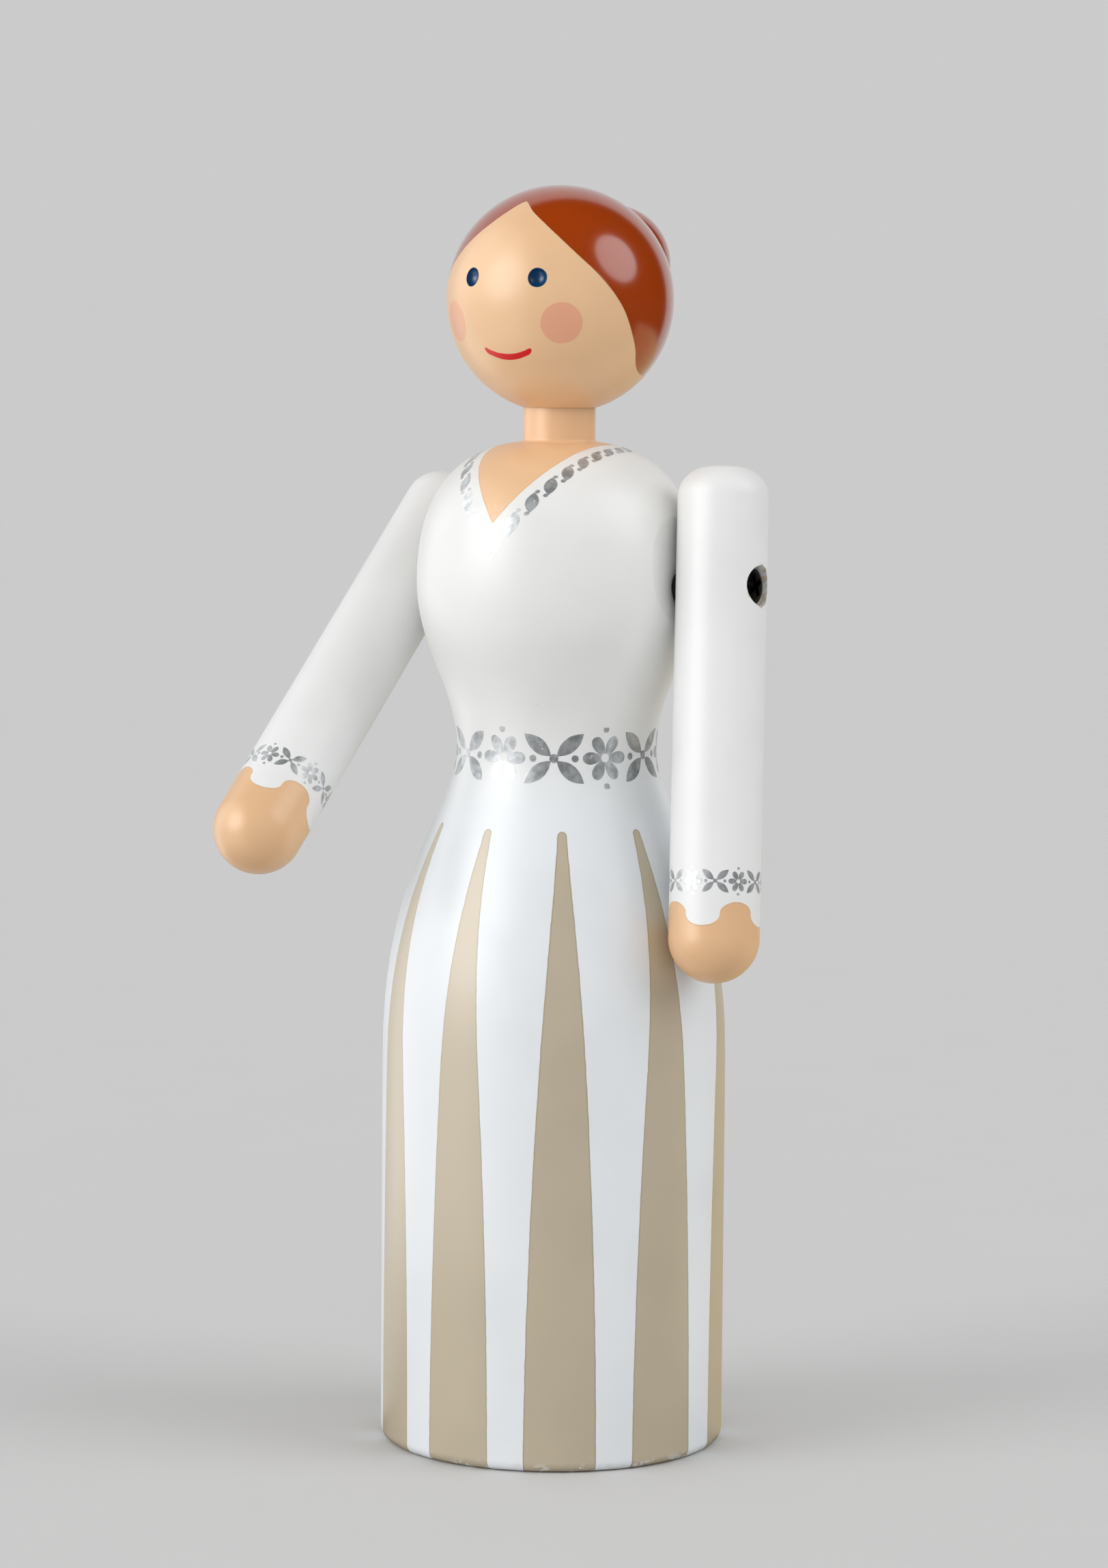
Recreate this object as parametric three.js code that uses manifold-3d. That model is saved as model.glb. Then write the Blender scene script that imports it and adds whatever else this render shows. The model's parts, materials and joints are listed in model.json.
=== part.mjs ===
// A turned and painted wooden figurine of a bride: a body with a ball head on a neck dowel, a bun at
// the back of the head, and two dowel arms that turn on screws in flat seats beside the chest.
// It stands on the origin, faces -Y and has its left arm on the +X side.
import * as THREE from 'three';
import { mergeVertices } from 'three/addons/utils/BufferGeometryUtils.js';
import Module from 'manifold-3d';

const wasm = await Module();
wasm.setup();

// Body: the turned outline, from the floor up
const skirtDiameter = 48;
const skirtStraightHeight = 54.8;
const skirtEdgeRadius = 1.5;
const hipFullness = 25.9;
const waistDiameter = 27.8;
const waistAboveSkirt = 42.2;
const waistRiseBelow = 8.2;
const waistRiseAbove = 9.1;
const chestDiameter = 39.2;
const chestAboveWaist = 23.6;
const chestRiseBelow = 10;
const chestRiseAbove = 13.4;
const neckAboveChest = 19.1;
const shoulderRun = 7.6;
const shoulderDrop = 0.8;

// Neck
const neckDiameter = 10;
const neckShowing = 4.8;
const neckSocketDepth = 14;
const headSocketDepth = 13;

// Head and its bun
const headDiameter = 31.4;
const eyeDiameter = 2.6;
const eyeDepth = 0.9;
const eyeAzimuth = THREE.MathUtils.degToRad(19.7);
const eyeLatitude = THREE.MathUtils.degToRad(11);
const bunDiameter = 16.8;
const bunHeight = 9.1;
const bunLatitude = THREE.MathUtils.degToRad(20);
const tenonDiameter = 6;
const tenonLength = 7;

// Arms
const armDiameter = 12.5;
const armAbovePivot = 16.4;
const armBelowPivot = 54;
const armTopEdgeRadius = 4.2;
const pivotBelowNeck = 19.2;
const pivotSetBack = 1.25;
const seatDistance = 18.8;
const seatToArm = 0.3;
const leftSwing = THREE.MathUtils.degToRad(7.9);
const rightSwing = THREE.MathUtils.degToRad(45.3);

// Pivot screw and friction washer of each arm
const screwHeadDiameter = 5;
const screwHeadHeight = 2;
const screwHeadCrown = 0.6;
const screwHeadRecess = 0.8;
const screwShankDiameter = 3;
const screwLength = 25;
const screwTipLength = 3;
const driveSlotLength = 3;
const driveSlotWidth = 0.8;
const driveSlotDepth = 1.1;
const washerDiameter = 5;
const washerSeatDepth = 1.1;

// Clearances
const turningClearance = 0.3;
const glueGap = 0.3;
const hipClearance = 0.3;

// Roundness: facets around a turned piece, and steps along each curve of its outline
const bodyFacets = 52;
const headFacets = 44;
const dowelFacets = 28;
const smallFacets = 20;
const bodyCurveSteps = 7;
const headCurveSteps = 9;
const dowelCurveSteps = 4;
const screwCurveSteps = 2;

const skirtRadius = skirtDiameter / 2;
const waistRadius = waistDiameter / 2;
const waistHeight = skirtStraightHeight + waistAboveSkirt;
const chestRadius = chestDiameter / 2;
const chestHeight = waistHeight + chestAboveWaist;
const neckBaseHeight = chestHeight + neckAboveChest;
const shoulderHeight = neckBaseHeight - pivotBelowNeck;
const neckRadius = neckDiameter / 2;
const neckBoreRadius = neckRadius + turningClearance;
const headRadius = headDiameter / 2;
const bunRadius = bunDiameter / 2;
const armRadius = armDiameter / 2;
const screwBoreRadius = screwShankDiameter / 2 + turningClearance;

// A closed solid that can be joined and cut, from a three.js geometry
function solid(geometry) {
  const bare = geometry.index ? geometry.toNonIndexed() : geometry.clone();
  bare.deleteAttribute('normal');
  bare.deleteAttribute('uv');
  const merged = mergeVertices(bare, 1e-5);
  return new wasm.Manifold(new wasm.Mesh({
    numProp: 3,
    vertProperties: new Float32Array(merged.attributes.position.array),
    triVerts: new Uint32Array(merged.index.array),
  }));
}

// The outline, given as points of radius and height, turned about the Z axis
function turned(points, facets) {
  return new THREE.LatheGeometry(points, facets).rotateX(Math.PI / 2);
}

// A round cutter from one height to another on the Z axis
function roundCutter(radius, bottom, top, facets) {
  const cutter = new THREE.CylinderGeometry(radius, radius, top - bottom, facets);
  return cutter.rotateX(Math.PI / 2).translate(0, 0, (top + bottom) / 2);
}

function mesh(name, part, material) {
  const { vertProperties, triVerts } = part.getMesh();
  const geometry = new THREE.BufferGeometry();
  geometry.setAttribute('position', new THREE.BufferAttribute(vertProperties, 3));
  geometry.setIndex(new THREE.BufferAttribute(triVerts, 1));
  geometry.computeVertexNormals();
  const made = new THREE.Mesh(geometry, material);
  made.name = name;
  return made;
}

// Paints and metals
const whitePaint = new THREE.MeshStandardMaterial({ color: 0xe9eaea, roughness: 0.3 });
const skinPaint = new THREE.MeshStandardMaterial({ color: 0xe9c6a0, roughness: 0.3 });
const hairPaint = new THREE.MeshStandardMaterial({ color: 0x923d06, roughness: 0.25 });
const blackSteel = new THREE.MeshStandardMaterial({ color: 0x141414, roughness: 0.45, metalness: 0.8 });
const blackRubber = new THREE.MeshStandardMaterial({ color: 0x0d0d0d, roughness: 0.8 });

// The body's outline runs from the middle of its base, up the skirt, over hips, waist, chest and
// shoulders to the neck, and down into the neck's socket.
const neckSocketFloor = neckBaseHeight - neckSocketDepth;
const bodyOutline = new THREE.Path();
bodyOutline.moveTo(0, 0);
bodyOutline.lineTo(skirtRadius - skirtEdgeRadius, 0);
bodyOutline.absarc(skirtRadius - skirtEdgeRadius, skirtEdgeRadius, skirtEdgeRadius, -Math.PI / 2, 0);
bodyOutline.lineTo(skirtRadius, skirtStraightHeight);
bodyOutline.bezierCurveTo(
  skirtRadius, skirtStraightHeight + hipFullness,
  waistRadius, waistHeight - waistRiseBelow,
  waistRadius, waistHeight,
);
bodyOutline.bezierCurveTo(
  waistRadius, waistHeight + waistRiseAbove,
  chestRadius, chestHeight - chestRiseBelow,
  chestRadius, chestHeight,
);
bodyOutline.bezierCurveTo(
  chestRadius, chestHeight + chestRiseAbove,
  neckBoreRadius + shoulderRun, neckBaseHeight - shoulderDrop,
  neckBoreRadius, neckBaseHeight,
);
bodyOutline.lineTo(neckBoreRadius, neckSocketFloor);
bodyOutline.lineTo(0, neckSocketFloor);
const bodyPoints = bodyOutline.getPoints(bodyCurveSteps);

// Radius of the body's outside at a height
function bodyRadiusAt(height) {
  const above = bodyPoints.findIndex((point) => point.x > 0 && point.y >= height);
  const high = bodyPoints[above];
  const low = bodyPoints[above - 1];
  return THREE.MathUtils.mapLinear(height, low.y, high.y, low.x, high.x);
}

// Each arm turns about an axis square to its seat, set back a little from the body's axis. The seats lean
// just enough for an arm that hangs straight down to clear the hips, and the arms turn all the way round.
const seatToPivot = seatToArm + armRadius;
const shoulderReach = seatDistance + seatToPivot;
const wristDrop = armBelowPivot - armRadius;
const hipRadius = bodyRadiusAt(shoulderHeight - wristDrop);
const seatLean = Math.atan((hipRadius + hipClearance - seatDistance - seatToArm) / wristDrop);

// A shoulder's own frame: its origin is on the arm's centre line at the pivot, and +X points outward
// along the hinge.
function shoulderFrame(side) {
  const frame = new THREE.Group();
  frame.position.set(side.sign * shoulderReach, pivotSetBack, shoulderHeight);
  frame.rotation.set(0, -seatLean, side.turn, 'ZYX');
  frame.updateMatrix();
  return frame;
}

const sides = [
  { name: 'left', sign: 1, turn: 0, swing: -leftSwing },
  { name: 'right', sign: -1, turn: Math.PI, swing: rightSwing },
];

// A cutter along the hinge, from one place on it to another, in the shoulder's frame
function hingeCutter(radius, from, to, facets) {
  return roundCutter(radius, from, to, facets).rotateY(Math.PI / 2);
}

// Screw: its places along the hinge, measured outward from the arm's centre line
const screwHeadTop = armRadius - screwHeadRecess;
const screwHeadUnderside = screwHeadTop - screwHeadHeight;
const screwTip = screwHeadUnderside - screwLength;
const counterboreFloor = screwHeadUnderside - turningClearance;
const washerSeat = washerSeatDepth - armRadius;

// Body: both seats are cut flat above the waist and drilled for the screws
function makeBody() {
  let part = solid(turned(bodyPoints, bodyFacets));
  const seatBottom = waistHeight - shoulderHeight;
  const seatTop = neckBaseHeight - shoulderHeight;
  for (const side of sides) {
    const frame = shoulderFrame(side);
    const seatCutter = new THREE.BoxGeometry(chestDiameter, chestDiameter, seatTop - seatBottom);
    seatCutter.translate(chestRadius - seatToPivot, 0, (seatTop + seatBottom) / 2);
    const pilot = hingeCutter(screwBoreRadius, screwTip - glueGap, 0, smallFacets);
    part = part.subtract(solid(seatCutter.applyMatrix4(frame.matrix)));
    part = part.subtract(solid(pilot.applyMatrix4(frame.matrix)));
  }
  return mesh('body', part, whitePaint);
}

// Neck: a plain dowel from the floor of the body's socket to the top of the head's
const headUnderside = neckBaseHeight + neckShowing;
const neckBottom = neckSocketFloor + glueGap;
const neckTop = headUnderside + headSocketDepth - turningClearance;

function makeNeck() {
  const dowel = roundCutter(neckRadius, neckBottom, neckTop, dowelFacets);
  return mesh('neck_dowel', solid(dowel), skinPaint);
}

// Head: a ball whose outline runs from the crown down to the socket and up inside it. Its frame has
// the ball's centre at the origin.
const socketDrop = Math.sqrt(headRadius ** 2 - neckBoreRadius ** 2);
const headHeight = headUnderside + socketDrop;
const bunSeat = Math.sqrt(headRadius ** 2 - bunRadius ** 2);

// The bun points up and back from the head's centre, along its own +Z
const bunTurn = new THREE.Matrix4().makeRotationX(bunLatitude - Math.PI / 2);

function makeHead() {
  const outline = new THREE.Path();
  const socketEdge = Math.asin(neckBoreRadius / headRadius) - Math.PI / 2;
  outline.absarc(0, 0, headRadius, Math.PI / 2, socketEdge, true);
  outline.lineTo(neckBoreRadius, headSocketDepth - socketDrop);
  outline.lineTo(0, headSocketDepth - socketDrop);
  const points = outline.getPoints(headCurveSteps).reverse();
  let part = solid(turned(points, headFacets));

  const dimpleRadius = (eyeDiameter ** 2 / 4 + eyeDepth ** 2) / (2 * eyeDepth);
  const eyeRim = Math.sqrt(headRadius ** 2 - eyeDiameter ** 2 / 4);
  const eyeReach = eyeRim - eyeDepth + dimpleRadius;
  for (const sign of [-1, 1]) {
    const eye = new THREE.SphereGeometry(dimpleRadius, smallFacets, smallFacets / 2);
    eye.translate(0, -eyeReach, 0);
    eye.rotateX(-eyeLatitude);
    eye.rotateZ(sign * eyeAzimuth);
    part = part.subtract(solid(eye));
  }

  const bunFlat = roundCutter(headRadius, bunSeat, bunSeat + headRadius, headFacets);
  const tenonBottom = bunSeat + glueGap - tenonLength;
  const tenonBore = roundCutter(tenonDiameter / 2 + glueGap, tenonBottom - glueGap, headRadius, smallFacets);
  part = part.subtract(solid(bunFlat.applyMatrix4(bunTurn)));
  part = part.subtract(solid(tenonBore.applyMatrix4(bunTurn)));
  return mesh('head', part, skinPaint);
}

// Bun: a dome with a tenon. The dome is a ball of the bun's diameter, cut where its height is reached.
function makeBun() {
  const base = bunSeat + glueGap;
  const crown = base + bunHeight;
  const centre = crown - bunRadius;
  const baseAngle = Math.asin((base - centre) / bunRadius);
  const outline = new THREE.Path();
  outline.moveTo(0, base - tenonLength);
  outline.lineTo(tenonDiameter / 2, base - tenonLength);
  outline.lineTo(tenonDiameter / 2, base);
  outline.absarc(0, centre, bunRadius, baseAngle, Math.PI / 2);
  const dome = turned(outline.getPoints(dowelCurveSteps), dowelFacets);
  return mesh('hair_bun', solid(dome.applyMatrix4(bunTurn)), hairPaint);
}

// Arm: a dowel with a round hand and a rounded top, drilled through for its screw, with a seat for
// the screw's head outside and one for the washer inside. The pivot is its origin.
function makeArm(side) {
  const outline = new THREE.Path();
  const topEdge = Math.min(armTopEdgeRadius, armRadius);
  outline.absarc(0, armRadius - armBelowPivot, armRadius, -Math.PI / 2, 0);
  outline.absarc(armRadius - topEdge, armAbovePivot - topEdge, topEdge, 0, Math.PI / 2);
  outline.lineTo(0, armAbovePivot);
  let part = solid(turned(outline.getPoints(dowelCurveSteps), dowelFacets));

  const headBoreRadius = screwHeadDiameter / 2 + turningClearance;
  const washerBoreRadius = washerDiameter / 2 + turningClearance;
  part = part.subtract(solid(hingeCutter(screwBoreRadius, -armDiameter, armDiameter, smallFacets)));
  part = part.subtract(solid(hingeCutter(headBoreRadius, counterboreFloor, armDiameter, smallFacets)));
  part = part.subtract(solid(hingeCutter(washerBoreRadius, -armDiameter, washerSeat, smallFacets)));
  const arm = mesh(`${side.name}_arm`, part, whitePaint);
  arm.rotation.x = side.swing;
  return arm;
}

// Pivot screw: a round head with a cross slot, a plain shank and a pointed tip in the body
function makeScrew(side) {
  const shankRadius = screwShankDiameter / 2;
  const headRadiusHere = screwHeadDiameter / 2;
  const outline = new THREE.Path();
  outline.moveTo(0, screwTip);
  outline.lineTo(shankRadius, screwTip + screwTipLength);
  outline.lineTo(shankRadius, screwHeadUnderside);
  outline.lineTo(headRadiusHere, screwHeadUnderside);
  const crownBase = screwHeadTop - screwHeadCrown;
  outline.absellipse(0, crownBase, headRadiusHere, screwHeadCrown, 0, Math.PI / 2);
  let part = solid(turned(outline.getPoints(screwCurveSteps), smallFacets).rotateY(Math.PI / 2));
  for (const [across, along] of [[driveSlotLength, driveSlotWidth], [driveSlotWidth, driveSlotLength]]) {
    const slot = new THREE.BoxGeometry(2 * driveSlotDepth, across, along);
    part = part.subtract(solid(slot.translate(screwHeadTop, 0, 0)));
  }
  return mesh(`${side.name}_pivot_screw`, part, blackSteel);
}

// Friction washer: a rubber ring that fills the space between the body's seat and the arm's
function makeWasher(side) {
  const inner = screwBoreRadius;
  const outer = washerDiameter / 2;
  const bottom = glueGap - seatToPivot;
  const top = washerSeat - turningClearance;
  const outline = [
    new THREE.Vector2(inner, bottom),
    new THREE.Vector2(outer, bottom),
    new THREE.Vector2(outer, top),
    new THREE.Vector2(inner, top),
    new THREE.Vector2(inner, bottom),
  ];
  const ring = turned(outline, smallFacets).rotateY(Math.PI / 2);
  return mesh(`${side.name}_friction_washer`, solid(ring), blackRubber);
}

const figurine = new THREE.Group();
figurine.add(makeBody(), makeNeck());

const headGroup = new THREE.Group();
headGroup.position.z = headHeight;
headGroup.add(makeHead(), makeBun());
figurine.add(headGroup);

for (const side of sides) {
  const shoulder = shoulderFrame(side);
  shoulder.add(makeArm(side), makeScrew(side), makeWasher(side));
  figurine.add(shoulder);
}

export default figurine;
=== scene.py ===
import json
import math

import bpy
from mathutils import Color, Matrix, Vector


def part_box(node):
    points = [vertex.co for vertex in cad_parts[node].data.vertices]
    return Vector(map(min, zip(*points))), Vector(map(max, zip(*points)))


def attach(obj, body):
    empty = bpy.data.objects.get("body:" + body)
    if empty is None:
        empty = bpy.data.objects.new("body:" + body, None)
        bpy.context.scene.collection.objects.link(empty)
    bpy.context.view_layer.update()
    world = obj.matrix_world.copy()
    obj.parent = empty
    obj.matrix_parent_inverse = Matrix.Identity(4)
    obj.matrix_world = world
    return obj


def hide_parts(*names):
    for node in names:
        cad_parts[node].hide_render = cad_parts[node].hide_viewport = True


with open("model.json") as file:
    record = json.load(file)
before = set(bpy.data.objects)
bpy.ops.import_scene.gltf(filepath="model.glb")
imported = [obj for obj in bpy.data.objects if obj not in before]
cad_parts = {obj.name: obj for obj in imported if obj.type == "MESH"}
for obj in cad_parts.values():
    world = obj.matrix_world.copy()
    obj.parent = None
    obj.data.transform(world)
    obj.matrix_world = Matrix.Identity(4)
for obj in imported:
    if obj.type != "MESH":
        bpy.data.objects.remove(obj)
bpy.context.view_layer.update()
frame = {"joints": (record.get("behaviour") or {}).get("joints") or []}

# Body: one length of close-grained wood, turned on a lathe to the outline of the whole dress, bored for
# the neck and cut flat beside the chest where the arms turn. It is painted white, then the pleats and
# the neckline are painted over masks, and the silver ornament is printed last.
mm = 0.001
skirt_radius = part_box("body")[1].x / mm
neck_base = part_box("body")[1].z / mm
skirt_straight = 54.8
skirt_edge = 1.5
hip_fullness = 25.9
waist_radius = 13.9
waist_height = 97.0
waist_rise_below = 8.2
waist_rise_above = 9.1
chest_radius = 19.6
chest_height = 120.6
chest_rise_below = 10.0
chest_rise_above = 13.4
shoulder_run = 7.6
shoulder_drop = 0.8
neck_socket_radius = 5.3
neck_socket_depth = 14.0
neck_socket_floor = neck_base - neck_socket_depth
same_place = 0.002 * mm
straight_within = math.radians(0.02)


def deselect():
    """Leaves nothing selected, because an operator acts on all that is."""
    bpy.ops.object.select_all(action="DESELECT")


def take(piece):
    """Makes a piece the one that operators work on."""
    deselect()
    piece.select_set(True)
    bpy.context.view_layer.objects.active = piece


def edit_all():
    """Opens the piece in hand for editing, with all of it selected."""
    bpy.ops.object.mode_set(mode="EDIT")
    bpy.ops.mesh.select_all(action="SELECT")


def stop_editing():
    """Goes back from the faces of a piece to whole pieces."""
    bpy.ops.object.mode_set(mode="OBJECT")


def arc(centre, radius, start, end):
    """The round stretches of an outline about a centre, between two angles in degrees."""
    count = math.ceil(abs(end - start) / 90 - 0.001)
    sweep = math.radians(end - start) / count
    reach = 4 / 3 * math.tan(sweep / 4)
    stretches = []
    for number in range(count):
        first = math.radians(start) + number * sweep
        last = first + sweep
        points = [
            (math.cos(first) - reach * math.sin(first), math.sin(first) + reach * math.cos(first)),
            (math.cos(last) + reach * math.sin(last), math.sin(last) - reach * math.cos(last)),
            (math.cos(last), math.sin(last)),
        ]
        stretches.append([(centre[0] + radius * r, centre[1] + radius * z) for r, z in points])
    return stretches


def draw(name, outline, curve_steps):
    """Draws an outline of (radius, height) in mm as a row of edges. A straight stretch is its end point,
    and a curved one is its two handles and its end point."""
    deselect()
    bpy.ops.curve.primitive_bezier_curve_add(location=(0, 0, 0))
    piece = bpy.context.object
    piece.name = name
    piece.data.resolution_u = curve_steps
    points = piece.data.splines[0].bezier_points
    points.add(len(outline) - 2)
    before = outline[0]
    for number, stretch in enumerate(outline):
        curved = len(stretch) == 3
        end = stretch[2] if curved else stretch
        point = points[number]
        point.handle_left_type = "FREE"
        point.handle_right_type = "FREE"
        places = [stretch[0], stretch[1]] if curved else [before, end]
        leaving, arriving = [Vector((r * mm, 0, z * mm)) for r, z in places]
        point.co = Vector((end[0] * mm, 0, end[1] * mm))
        point.handle_left = arriving
        point.handle_right = point.co
        points[max(number - 1, 0)].handle_right = leaving
        before = end
    bpy.ops.object.convert(target="MESH")
    edit_all()
    bpy.ops.mesh.remove_doubles(threshold=same_place)
    bpy.ops.mesh.dissolve_limited(angle_limit=straight_within)
    stop_editing()
    return piece


def turn(name, outline, facets=160, curve_steps=20):
    """Draws an outline and spins it about the lathe's axis into a solid."""
    piece = draw(name, outline, curve_steps)
    edit_all()
    bpy.ops.mesh.spin(steps=facets, angle=2 * math.pi, center=(0, 0, 0), axis=(0, 0, 1))
    bpy.ops.mesh.select_all(action="SELECT")
    bpy.ops.mesh.remove_doubles(threshold=same_place)
    bpy.ops.mesh.normals_make_consistent(inside=False)
    stop_editing()
    return piece


body = turn("turned_body", [
    (0, 0),
    (skirt_radius - skirt_edge, 0),
    *arc((skirt_radius - skirt_edge, skirt_edge), skirt_edge, -90, 0),
    (skirt_radius, skirt_straight),
    [
        (skirt_radius, skirt_straight + hip_fullness),
        (waist_radius, waist_height - waist_rise_below),
        (waist_radius, waist_height),
    ],
    [
        (waist_radius, waist_height + waist_rise_above),
        (chest_radius, chest_height - chest_rise_below),
        (chest_radius, chest_height),
    ],
    [
        (chest_radius, chest_height + chest_rise_above),
        (neck_socket_radius + shoulder_run, neck_base - shoulder_drop),
        (neck_socket_radius, neck_base),
    ],
    (neck_socket_radius, neck_socket_floor),
    (0, neck_socket_floor),
])


def pick_faces(piece, wanted):
    """Opens a piece for editing with only the faces selected whose middle and normal are wanted."""
    take(piece)
    bpy.ops.object.mode_set(mode="EDIT")
    bpy.ops.mesh.select_mode(type="FACE")
    bpy.ops.mesh.select_all(action="DESELECT")
    stop_editing()
    for face in piece.data.polygons:
        face.select = wanted(face.center, face.normal)
    bpy.ops.object.mode_set(mode="EDIT")


cut_precision = 0.001 * mm


def cut_flat(point, way):
    """Cuts off what is picked of a piece beyond a point, square to the way out, and closes the cut."""
    bpy.ops.mesh.bisect(
        plane_co=point,
        plane_no=way,
        use_fill=True,
        clear_outer=True,
        threshold=cut_precision,
    )
    stop_editing()


def combine(piece, other, operation):
    """Cuts another shape out of a piece or makes it one with the piece, and puts the other shape away."""
    take(piece)
    bpy.ops.object.modifier_add(type="BOOLEAN")
    piece.modifiers[-1].operation = operation
    piece.modifiers[-1].object = other
    piece.modifiers[-1].solver = "EXACT"
    bpy.ops.object.modifier_apply(modifier=piece.modifiers[-1].name)
    bpy.data.objects.remove(other)
    edit_all()
    bpy.ops.mesh.remove_doubles(threshold=cut_precision)
    stop_editing()


def drill(piece, radius, start, end, facets=48):
    """Drills a round hole of a radius in mm from one point to another."""
    deselect()
    bpy.ops.mesh.primitive_cylinder_add(
        vertices=facets,
        radius=radius * mm,
        depth=(end - start).length,
        location=(start + end) / 2,
        rotation=(end - start).to_track_quat("Z", "Y").to_euler(),
    )
    combine(piece, bpy.context.object, "DIFFERENCE")


def smooth(piece, degrees=25):
    """Rounds the shading of a piece but keeps the edges that turn by more than an angle."""
    take(piece)
    bpy.ops.object.shade_smooth_by_angle(angle=math.radians(degrees), keep_sharp_edges=True)


class Shoulder:
    """One arm's hinge: its place on the arm's centre line, and the way out from the body along it."""

    def __init__(self, joint):
        self.name = joint["child"]
        self.pivot = Vector(joint["pos_m"])
        axis = Vector(joint["axis"])
        self.side = math.copysign(1, self.pivot.x)
        self.outward = axis if axis.x * self.side > 0 else -axis
        self.lying = self.outward.to_track_quat("Z", "Y").to_euler()

    def point(self, distance):
        """A point on the hinge, a distance in mm outward from the arm's centre line."""
        return self.pivot + self.outward * distance * mm


shoulders = [Shoulder(joint) for joint in frame["joints"] if joint["child"].endswith("_arm")]
seat_place = -6.55
screw_bore_radius = 1.8
screw_bore_end = -21.85
same_direction = 0.99999
for shoulder in shoulders:
    pick_faces(body, lambda middle, normal: middle.z > waist_height * mm and middle.x * shoulder.side > 0)
    cut_flat(shoulder.point(seat_place), shoulder.outward)
    pick_faces(body, lambda middle, normal: normal.dot(shoulder.outward) > same_direction)
    bpy.ops.mesh.region_to_loop()
    bpy.ops.mesh.mark_sharp()
    stop_editing()
    drill(body, screw_bore_radius, shoulder.point(screw_bore_end), shoulder.point(0))
smooth(body)


class Measure:
    """A number or colour that changes over a surface. Sums with it are laid as Math nodes."""

    def __init__(self, socket):
        self.socket = socket

    def __add__(self, other):
        return work_out("ADD", self, other)

    def __radd__(self, other):
        return work_out("ADD", other, self)

    def __sub__(self, other):
        return work_out("SUBTRACT", self, other)

    def __rsub__(self, other):
        return work_out("SUBTRACT", other, self)

    def __mul__(self, other):
        return work_out("MULTIPLY", self, other)

    def __rmul__(self, other):
        return work_out("MULTIPLY", other, self)

    def __truediv__(self, other):
        return work_out("DIVIDE", self, other)

    def __pow__(self, other):
        return work_out("POWER", self, other)

    def __abs__(self):
        return work_out("ABSOLUTE", self)


def give(socket, value):
    """Links a measure to an input, or sets the input to a plain value."""
    if isinstance(value, Measure):
        socket.id_data.links.new(value.socket, socket)
    else:
        socket.default_value = value


def work_out(operation, *values):
    """One step of arithmetic. At least one of its values is a measure."""
    tree = next(value.socket.id_data for value in values if isinstance(value, Measure))
    node = tree.nodes.new("ShaderNodeMath")
    node.operation = operation
    for socket, value in zip(node.inputs, values):
        give(socket, value)
    return Measure(node.outputs[0])


def larger(first, second):
    return work_out("MAXIMUM", first, second)


def smaller(first, second):
    return work_out("MINIMUM", first, second)


def length(first, second):
    """The long side of a right-angled triangle with these two short ones."""
    return work_out("SQRT", first * first + second * second)


def fade(value, low, high, at_low=0.0, at_high=1.0):
    """A smooth change from one value to another as a measure goes from low to high."""
    node = value.socket.id_data.nodes.new("ShaderNodeMapRange")
    node.interpolation_type = "SMOOTHSTEP"
    for socket, number in zip(node.inputs, (value, low, high, at_low, at_high)):
        give(socket, number)
    return Measure(node.outputs[0])


def noise(place, scale, detail=2.0, stretch=(1, 1, 1)):
    """A cloudy measure of 0 to 1, with about scale clouds in a metre, stretched along some axes."""
    tree = place.socket.id_data
    mapping = tree.nodes.new("ShaderNodeMapping")
    mapping.inputs["Scale"].default_value = stretch
    give(mapping.inputs["Vector"], place)
    node = tree.nodes.new("ShaderNodeTexNoise")
    node.inputs["Scale"].default_value = scale
    node.inputs["Detail"].default_value = detail
    tree.links.new(mapping.outputs[0], node.inputs["Vector"])
    return Measure(node.outputs[0])


def distance_from(place, point):
    """How far a place is from a point, in mm."""
    tree = place.socket.id_data
    node = tree.nodes.new("ShaderNodeVectorMath")
    node.operation = "DISTANCE"
    give(node.inputs[0], place)
    node.inputs[1].default_value = Vector(point) * mm
    return Measure(node.outputs["Value"]) / mm


def cover(mask, under, over):
    """One colour laid over another where the mask is 1."""
    node = mask.socket.id_data.nodes.new("ShaderNodeMix")
    node.data_type = "RGBA"
    give(node.inputs[0], mask)
    give(node.inputs[6], under)
    give(node.inputs[7], over)
    return Measure(node.outputs[2])


def darken(colour, share):
    """A colour with a share of its light taken away."""
    node = share.socket.id_data.nodes.new("ShaderNodeMix")
    node.data_type = "RGBA"
    node.blend_type = "MULTIPLY"
    give(node.inputs[0], share)
    give(node.inputs[6], colour)
    node.inputs[7].default_value = (0, 0, 0, 1)
    return Measure(node.outputs[2])


def colour(red, green, blue):
    """A colour as it is seen, each part of 255, in Blender's linear light."""
    return (*Color((red / 255, green / 255, blue / 255)).from_srgb_to_scene_linear(), 1.0)


def new_group(name, takes, gives):
    """An empty node group with named inputs and outputs, and its two end nodes."""
    group = bpy.data.node_groups.new(name, "ShaderNodeTree")
    for label, kind in takes.items():
        group.interface.new_socket(label, in_out="INPUT", socket_type="NodeSocket" + kind)
    for label, kind in gives.items():
        group.interface.new_socket(label, in_out="OUTPUT", socket_type="NodeSocket" + kind)
    entry = group.nodes.new("NodeGroupInput")
    given = {label: Measure(entry.outputs[label]) for label in takes}
    return group, given, group.nodes.new("NodeGroupOutput").inputs


def use_group(group, **given):
    """Places a node group beside the measures that it is given, and returns its outputs by name."""
    tree = next(value.socket.id_data for value in given.values() if isinstance(value, Measure))
    node = tree.nodes.new("ShaderNodeGroup")
    node.node_tree = group
    for label, value in given.items():
        give(node.inputs[label], value)
    return {socket.name: Measure(socket) for socket in node.outputs}


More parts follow.
